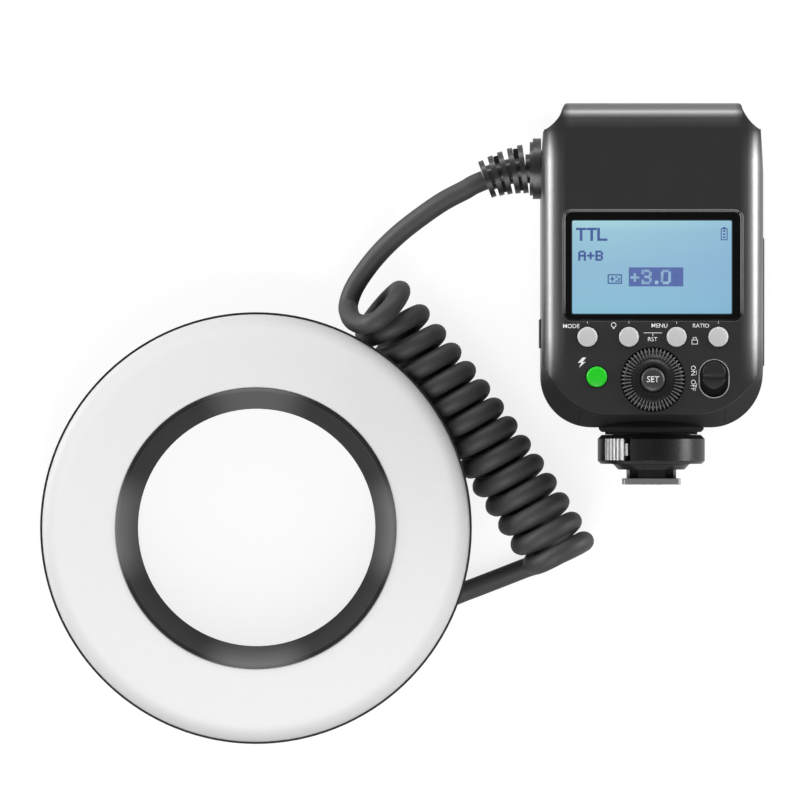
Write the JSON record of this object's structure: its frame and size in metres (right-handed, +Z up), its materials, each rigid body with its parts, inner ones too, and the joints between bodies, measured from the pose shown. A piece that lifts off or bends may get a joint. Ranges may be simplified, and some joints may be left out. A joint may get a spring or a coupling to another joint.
{
  "type": "macro ring flash",
  "caption": "Ring-shaped close-up flash head with opal diffuser and lens opening, joined by a curly cord to a shoe-mounted controller with display, keys, dial and lock foot.",
  "frame": {"origin": "on the ring head's axis, at the mouth of the adapter seat, which is the table it lies on", "axes": "+X from the ring head to the controller, +Y from the shoe foot to the top of the controller, +Z up out of the diffuser and the display"},
  "size_m": [0.2338, 0.2064, 0.0561],
  "materials": {
    "satin_black_abs": "satin, fine spark texture",
    "bezel_black": "satin black with turned concentric lines",
    "diffuser_acrylic": "opal white, frosted",
    "reflector_metal": "bright rolled sheet",
    "flash_tube_glass": "clear quartz",
    "circuit_board": "green solder mask",
    "led_yellow": "phosphor yellow",
    "screw_steel": "zinc plated",
    "soft_black_pvc": "matte moulded",
    "cord_pvc": "matte extruded jacket",
    "red_filter": "deep red, clear",
    "window_gloss": "high gloss black frame",
    "lcd_panel": "pale blue lit display",
    "button_grey": "satin light grey",
    "button_green": "translucent green",
    "switch_plastic": "plain",
    "capacitor_sleeve": "shrink sleeve",
    "contact_brass": "gold plated",
    "port_rubber": "matte",
    "socket_steel": "nickel plated",
    "tab_nickel": "satin nickel",
    "foot_steel": "stamped steel"
  },
  "bodies": {
    "flash": {"ring_rear_housing": "satin_black_abs", "rear_case": "satin_black_abs", "front_case": "satin_black_abs", "base_plate": "satin_black_abs", "foot_block": "satin_black_abs", "ring_bezel": "bezel_black", "ring_diffuser": "diffuser_acrylic", "reflector_upper": "reflector_metal", "reflector_lower": "reflector_metal", "flash_tube_upper": "flash_tube_glass", "flash_tube_lower": "flash_tube_glass", "ring_board": "circuit_board", "main_board": "circuit_board", "modelling_leds": "led_yellow", "ring_screws": "screw_steel", "case_screws": "screw_steel", "ring_gland": "soft_black_pvc", "cable_gland": "soft_black_pvc", "cord_lead_ring": "cord_pvc", "cord_coil": "cord_pvc", "cord_lead_controller": "cord_pvc", "front_window": "red_filter", "display_window": "window_gloss", "lcd_module": "lcd_panel", "dial_encoder": "switch_plastic", "switch_body": "switch_plastic", "tact_switches": "switch_plastic", "battery_bay": "switch_plastic", "capacitor": "capacitor_sleeve", "battery_contacts": "contact_brass", "foot_contacts": "contact_brass", "port_sockets": "socket_steel", "foot_plate": "foot_steel"},
    "function_key_1": {"function_button_1": "button_grey"},
    "function_key_2": {"function_button_2": "button_grey"},
    "function_key_3": {"function_button_3": "button_grey"},
    "function_key_4": {"function_button_4": "button_grey"},
    "test_key": {"test_button": "button_green"},
    "set_key": {"set_button": "satin_black_abs"},
    "dial": {"select_dial": "satin_black_abs"},
    "switch_knob": {"power_switch": "satin_black_abs"},
    "battery": {"battery_pack": "satin_black_abs"},
    "port_flap": {"port_cover": "port_rubber"},
    "collar": {"lock_collar": "satin_black_abs"},
    "collar_tab": {"release_tab": "tab_nickel"},
    "shoe_pin": {"lock_pin": "tab_nickel"},
    "latch_upper": {"release_latch_upper": "satin_black_abs"},
    "latch_lower": {"release_latch_lower": "satin_black_abs"}
  },
  "joints": [
    {"name": "function_press_1", "type": "slide", "parent": "flash", "child": "function_key_1", "axis": [0, 0, -1], "range_m": [0, 0.0007], "stiffness_N_per_m": 900},
    {"name": "function_press_2", "type": "slide", "parent": "flash", "child": "function_key_2", "axis": [0, 0, -1], "range_m": [0, 0.0007], "stiffness_N_per_m": 900},
    {"name": "function_press_3", "type": "slide", "parent": "flash", "child": "function_key_3", "axis": [0, 0, -1], "range_m": [0, 0.0007], "stiffness_N_per_m": 900},
    {"name": "function_press_4", "type": "slide", "parent": "flash", "child": "function_key_4", "axis": [0, 0, -1], "range_m": [0, 0.0007], "stiffness_N_per_m": 900},
    {"name": "test_press", "type": "slide", "parent": "flash", "child": "test_key", "axis": [0, 0, -1], "range_m": [0, 0.0007], "stiffness_N_per_m": 900},
    {"name": "set_press", "type": "slide", "parent": "flash", "child": "set_key", "axis": [0, 0, -1], "range_m": [0, 0.0007], "stiffness_N_per_m": 900},
    {"name": "dial_turn", "type": "hinge", "parent": "flash", "child": "dial", "pos_m": [0.1276, 0.0479, 0.05], "axis": [0, 0, 1], "continuous": true},
    {"name": "power_slide", "type": "slide", "parent": "flash", "child": "switch_knob", "axis": [0, -1, 0], "range_m": [0, 0.0024]},
    {"name": "battery_slide", "type": "slide", "parent": "flash", "child": "battery", "axis": [1, 0, 0], "range_m": [0, 0.062]},
    {"name": "port_flap_swing", "type": "hinge", "parent": "flash", "child": "port_flap", "pos_m": [0.0923, 0.06275, 0.0169], "axis": [0, -1, 0], "range_deg": [0, 100]},
    {"name": "collar_turn", "type": "hinge", "parent": "flash", "child": "collar", "pos_m": [0.1276, 0.0255, 0.027], "axis": [0, 1, 0], "range_deg": [0, 45]},
    {"name": "tab_press", "type": "slide", "parent": "collar", "child": "collar_tab", "axis": [0.7254, 0, -0.6884], "range_m": [0, 0.001], "stiffness_N_per_m": 1200},
    {"name": "pin_slide", "type": "slide", "parent": "flash", "child": "shoe_pin", "axis": [0, -1, 0], "range_m": [0, 0.0016]},
    {"name": "latch_upper_press", "type": "slide", "parent": "flash", "child": "latch_upper", "axis": [0, -1, 0], "range_m": [0, 0.002], "stiffness_N_per_m": 1500},
    {"name": "latch_lower_press", "type": "slide", "parent": "flash", "child": "latch_lower", "axis": [0, 1, 0], "range_m": [0, 0.002], "stiffness_N_per_m": 1500}
  ],
  "couplings": [
    {"joint": "pin_slide", "follows": "collar_turn", "m_per_rad": 0.0020372}
  ]
}
